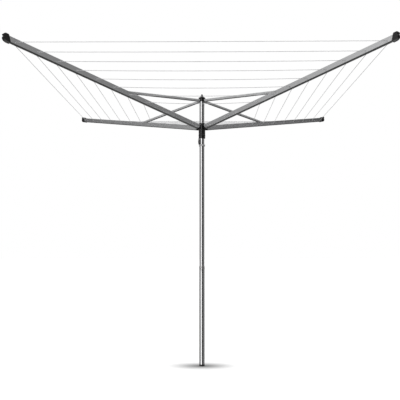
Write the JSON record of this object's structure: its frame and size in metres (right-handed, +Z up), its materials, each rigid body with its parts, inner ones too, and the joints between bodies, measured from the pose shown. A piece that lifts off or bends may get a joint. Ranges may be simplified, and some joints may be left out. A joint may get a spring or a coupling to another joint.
{
  "type": "rotary clothesline",
  "caption": "Rotary clothesline: a telescopic mast with a fixed head, folding strutted arms on a sliding carriage, end caps and rounds of drying line.",
  "frame": {"origin": "centre of the underside of the foot plug, at the bottom of the mast", "axes": "+Z up along the mast, the arms lie at 45 degrees to X and Y, and the release lever is on the -X side; the viewer in front looks along +Y"},
  "size_m": [2.1054, 2.1054, 1.923],
  "materials": {
    "mast_metal": "bright, smooth drawn tube",
    "pin_metal": "satin",
    "arm_metal": "satin extrusion",
    "black_plastic": "fine moulded grain",
    "dark_plastic": "smooth moulded",
    "grey_plastic": "smooth moulded",
    "line_plastic": "smooth plastic-covered cord"
  },
  "bodies": {
    "ground_mast": {"lower_tube": "mast_metal", "foot_plug": "black_plastic", "telescope_collar": "pin_metal"},
    "mast_bush": {"bearing_bush": "black_plastic"},
    "mast": {"upper_tube": "mast_metal", "head_hub": "black_plastic", "head_cap": "black_plastic", "drying_line": "line_plastic", "strut_pin_far_right": "pin_metal", "strut_pin_near_right": "pin_metal", "strut_pin_near_left": "pin_metal", "strut_pin_far_left": "pin_metal"},
    "carriage": {"carriage_hub": "black_plastic", "brake_ring": "grey_plastic", "strap_rivet_1": "pin_metal", "strap_rivet_2": "pin_metal", "lever_pin": "pin_metal"},
    "lever": {"release_lever": "dark_plastic"},
    "strut_far_right": {"strut_far_right": "arm_metal"},
    "arm_far_right": {"arm_far_right": "arm_metal", "arm_root_far_right": "black_plastic", "end_cap_far_right": "black_plastic", "joint_rivet_far_right": "pin_metal", "arm_pin_far_right": "pin_metal"},
    "strut_near_right": {"strut_near_right": "arm_metal"},
    "arm_near_right": {"arm_near_right": "arm_metal", "arm_root_near_right": "black_plastic", "end_cap_near_right": "black_plastic", "joint_rivet_near_right": "pin_metal", "arm_pin_near_right": "pin_metal"},
    "strut_near_left": {"strut_near_left": "arm_metal"},
    "arm_near_left": {"arm_near_left": "arm_metal", "arm_root_near_left": "black_plastic", "end_cap_near_left": "black_plastic", "joint_rivet_near_left": "pin_metal", "arm_pin_near_left": "pin_metal"},
    "strut_far_left": {"strut_far_left": "arm_metal"},
    "arm_far_left": {"arm_far_left": "arm_metal", "arm_root_far_left": "black_plastic", "end_cap_far_left": "black_plastic", "joint_rivet_far_left": "pin_metal", "arm_pin_far_left": "pin_metal"}
  },
  "joints": [
    {"name": "mast_height", "type": "slide", "parent": "ground_mast", "child": "mast_bush", "axis": [0, 0, 1], "range_m": [-0.4, 0]},
    {"name": "mast_spin", "type": "hinge", "parent": "mast_bush", "child": "mast", "pos_m": [0, 0, 0.46], "axis": [0, 0, 1], "continuous": true},
    {"name": "carriage_travel", "type": "slide", "parent": "mast", "child": "carriage", "axis": [0, 0, 1], "range_m": [-1.0585, 0], "deforming": ["drying_line"]},
    {"name": "lever_swing", "type": "hinge", "parent": "carriage", "child": "lever", "pos_m": [-0.0219, 0, 1.541], "axis": [0, 1, 0], "range_deg": [0, 60]},
    {"name": "strut_fold_far_right", "type": "hinge", "parent": "mast", "child": "strut_far_right", "pos_m": [0.02546, 0.02546, 1.811], "axis": [-0.7071, 0.7071, 0], "range_deg": [0, 84.44]},
    {"name": "arm_fold_far_right", "type": "hinge", "parent": "strut_far_right", "child": "arm_far_right", "pos_m": [0.46327, 0.46327, 1.75357], "axis": [-0.7071, 0.7071, 0], "range_deg": [-163.56, 0]},
    {"name": "strut_fold_near_right", "type": "hinge", "parent": "mast", "child": "strut_near_right", "pos_m": [0.02546, -0.02546, 1.811], "axis": [0.7071, 0.7071, 0], "range_deg": [0, 84.44]},
    {"name": "arm_fold_near_right", "type": "hinge", "parent": "strut_near_right", "child": "arm_near_right", "pos_m": [0.46327, -0.46327, 1.75357], "axis": [0.7071, 0.7071, 0], "range_deg": [-163.56, 0]},
    {"name": "strut_fold_near_left", "type": "hinge", "parent": "mast", "child": "strut_near_left", "pos_m": [-0.02546, -0.02546, 1.811], "axis": [0.7071, -0.7071, 0], "range_deg": [0, 84.44]},
    {"name": "arm_fold_near_left", "type": "hinge", "parent": "strut_near_left", "child": "arm_near_left", "pos_m": [-0.46327, -0.46327, 1.75357], "axis": [0.7071, -0.7071, 0], "range_deg": [-163.56, 0]},
    {"name": "strut_fold_far_left", "type": "hinge", "parent": "mast", "child": "strut_far_left", "pos_m": [-0.02546, 0.02546, 1.811], "axis": [-0.7071, -0.7071, 0], "range_deg": [0, 84.44]},
    {"name": "arm_fold_far_left", "type": "hinge", "parent": "strut_far_left", "child": "arm_far_left", "pos_m": [-0.46327, 0.46327, 1.75357], "axis": [-0.7071, -0.7071, 0], "range_deg": [-163.56, 0]}
  ],
  "couplings": [
    {"joint": "strut_fold_far_right", "follows": "carriage_travel", "rad_per_m": -1.392},
    {"joint": "arm_fold_far_right", "follows": "carriage_travel", "rad_per_m": 2.6966},
    {"joint": "strut_fold_near_right", "follows": "carriage_travel", "rad_per_m": -1.392},
    {"joint": "arm_fold_near_right", "follows": "carriage_travel", "rad_per_m": 2.6966},
    {"joint": "strut_fold_near_left", "follows": "carriage_travel", "rad_per_m": -1.392},
    {"joint": "arm_fold_near_left", "follows": "carriage_travel", "rad_per_m": 2.6966},
    {"joint": "strut_fold_far_left", "follows": "carriage_travel", "rad_per_m": -1.392},
    {"joint": "arm_fold_far_left", "follows": "carriage_travel", "rad_per_m": 2.6966}
  ]
}
